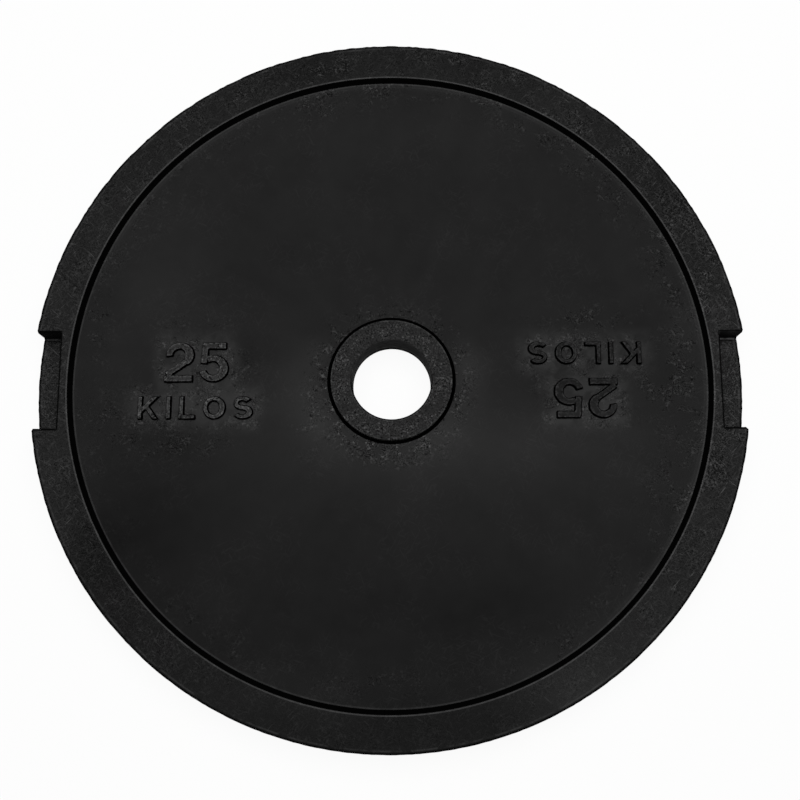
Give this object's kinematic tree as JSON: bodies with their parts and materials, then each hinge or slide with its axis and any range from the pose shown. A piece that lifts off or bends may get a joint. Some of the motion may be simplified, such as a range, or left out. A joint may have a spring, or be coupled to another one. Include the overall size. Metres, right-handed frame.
{
  "type": "weight plate",
  "caption": "Round black cast iron weight plate with a raised rim, a sunk web, a central hub bushing for a barbell sleeve, and grip pockets in the rim.",
  "frame": {"origin": "on the axis of the bore, in the plane of the back rim face", "axes": "+Z along the bore's axis, out of the front face, which has the grip pockets; +X to one grip pocket; +Y to the top of the upright numeral"},
  "size_m": [0.45, 0.45, 0.027],
  "materials": {
    "casting_paint": "satin",
    "hub_paint": "satin"
  },
  "bodies": {
    "root": {"plate_casting": "casting_paint", "hub_bushing": "hub_paint"}
  },
  "joints": []
}
